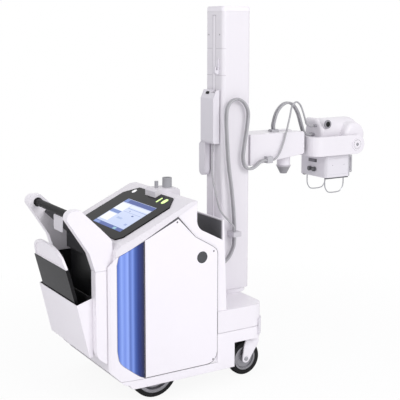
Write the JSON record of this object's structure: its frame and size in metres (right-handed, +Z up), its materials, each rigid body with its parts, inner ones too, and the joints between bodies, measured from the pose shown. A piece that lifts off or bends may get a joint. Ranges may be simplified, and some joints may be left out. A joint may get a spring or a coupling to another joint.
{
  "type": "mobile x-ray machine",
  "caption": "Motorised mobile x-ray machine: console and push handle over a wheeled base, with a swivelling column, lifting telescopic arm, yoke and tilting tube head.",
  "frame": {"origin": "middle of the overall length and width, on the floor", "axes": "+X forward from the push handle to the tube head, +Y to the machine's left, +Z up"},
  "size_m": [1.965, 0.65, 1.928],
  "materials": {
    "white_paint": "smooth white enamel",
    "white_cover": "moulded white plastic, satin",
    "grey_cover": "light grey plastic, satin",
    "dark_plastic": "dark grey moulded plastic",
    "black_gloss": "polished black front",
    "blue_gloss": "polished blue panel",
    "steel_frame": "dark painted steel",
    "machined": "machined aluminium",
    "column_alloy": "white coated aluminium",
    "rim_alloy": "cast grey wheel",
    "bright_wire": "satin steel wire",
    "tyre_black": "soft rubber",
    "grip_rubber": "black grip",
    "hose_grey": "grey cable jacket",
    "dense_block": "dark painted housing"
  },
  "bodies": {
    "chassis": {"chassis_frame": "steel_frame", "power_block": "dense_block", "drive_axle": "bright_wire", "skirt": "white_cover", "base_platform": "white_paint", "front_bumper": "grey_cover", "cabinet": "white_cover", "side_panels": "white_paint", "corner_panels": "blue_gloss", "rear_pillars": "white_cover", "handle_arms": "white_cover", "handle_bar": "grip_rubber", "handle_bridge": "dark_plastic", "console": "white_cover", "display": "black_gloss", "docking_pod": "white_cover", "docking_cups": "grey_cover", "storage_liner": "dark_plastic", "detector_bin": "white_cover", "detector": "black_gloss", "detector_handle": "white_cover", "column_foot": "machined", "hose_outlet": "dark_plastic", "riser_hoses": "hose_grey"},
    "drive_wheel_right": {"drive_rim_right": "rim_alloy", "drive_tyre_right": "tyre_black"},
    "drive_wheel_left": {"drive_rim_left": "rim_alloy", "drive_tyre_left": "tyre_black"},
    "caster_right": {"caster_fork_right": "white_paint"},
    "caster_left": {"caster_fork_left": "white_paint"},
    "caster_wheel_right": {"caster_rim_right": "rim_alloy", "caster_tyre_right": "tyre_black"},
    "caster_wheel_left": {"caster_rim_left": "rim_alloy", "caster_tyre_left": "tyre_black"},
    "column": {"column": "column_alloy", "column_cap": "white_cover", "column_hook": "grey_cover", "hose_clip": "dark_plastic"},
    "carriage": {"carriage": "machined", "carriage_cover": "grey_cover", "arm_outer": "column_alloy", "arm_gland": "dark_plastic", "docking_cone": "grey_cover", "lift_hoses": "hose_grey", "control_hose": "hose_grey", "head_cable": "hose_grey"},
    "arm_stage_1": {"arm_stage_1": "machined"},
    "arm_stage_2": {"arm_stage_2": "machined", "hose_saddle": "dark_plastic", "yoke_bearing": "grip_rubber", "head_hoses": "hose_grey"},
    "yoke": {"yoke": "white_paint", "tilt_scales": "machined"},
    "tube_head": {"tube_housing": "column_alloy", "tube_sockets": "dark_plastic"},
    "collimator": {"collimator": "grey_cover", "collimator_controls": "dark_plastic", "guard_loops": "bright_wire", "grab_handles": "machined"}
  },
  "joints": [
    {"name": "drive_wheel_right_roll", "type": "hinge", "parent": "chassis", "child": "drive_wheel_right", "pos_m": [-0.5275, -0.26, 0.127], "axis": [0, 1, 0], "continuous": true},
    {"name": "drive_wheel_left_roll", "type": "hinge", "parent": "chassis", "child": "drive_wheel_left", "pos_m": [-0.5275, 0.26, 0.127], "axis": [0, 1, 0], "continuous": true},
    {"name": "caster_right_swivel", "type": "hinge", "parent": "chassis", "child": "caster_right", "pos_m": [0.0575, -0.25, 0.2], "axis": [0, 0, 1], "continuous": true},
    {"name": "caster_left_swivel", "type": "hinge", "parent": "chassis", "child": "caster_left", "pos_m": [0.0575, 0.25, 0.2], "axis": [0, 0, 1], "continuous": true},
    {"name": "caster_wheel_right_roll", "type": "hinge", "parent": "caster_right", "child": "caster_wheel_right", "pos_m": [0.0175, -0.25, 0.09], "axis": [0, 1, 0], "continuous": true},
    {"name": "caster_wheel_left_roll", "type": "hinge", "parent": "caster_left", "child": "caster_wheel_left", "pos_m": [0.0175, 0.25, 0.09], "axis": [0, 1, 0], "continuous": true},
    {"name": "column_swivel", "type": "hinge", "parent": "chassis", "child": "column", "pos_m": [0.0805, 0, 0.4], "axis": [0, 0, 1], "range_deg": [-140, 100], "deforming": ["riser_hoses"]},
    {"name": "carriage_lift", "type": "slide", "parent": "column", "child": "carriage", "axis": [0, 0, -1], "range_m": [-0.4, 0.6], "deforming": ["lift_hoses", "control_hose"]},
    {"name": "arm_extend", "type": "slide", "parent": "carriage", "child": "arm_stage_1", "axis": [1, 0, 0], "range_m": [0, 0.25], "deforming": ["head_cable"]},
    {"name": "arm_extend_inner", "type": "slide", "parent": "arm_stage_1", "child": "arm_stage_2", "axis": [1, 0, 0], "range_m": [0, 0.25]},
    {"name": "yoke_roll", "type": "hinge", "parent": "arm_stage_2", "child": "yoke", "pos_m": [0.5525, 0, 1.156], "axis": [1, 0, 0], "range_deg": [-90, 90]},
    {"name": "head_tilt", "type": "hinge", "parent": "yoke", "child": "tube_head", "pos_m": [0.8685, 0, 1.156], "axis": [0, -1, 0], "range_deg": [-20, 90], "deforming": ["head_hoses"]},
    {"name": "collimator_turn", "type": "hinge", "parent": "tube_head", "child": "collimator", "pos_m": [0.7625, 0, 1.096], "axis": [0, 0, 1], "range_deg": [-90, 90]}
  ],
  "couplings": [
    {"joint": "arm_extend_inner", "follows": "arm_extend", "ratio": 1}
  ]
}
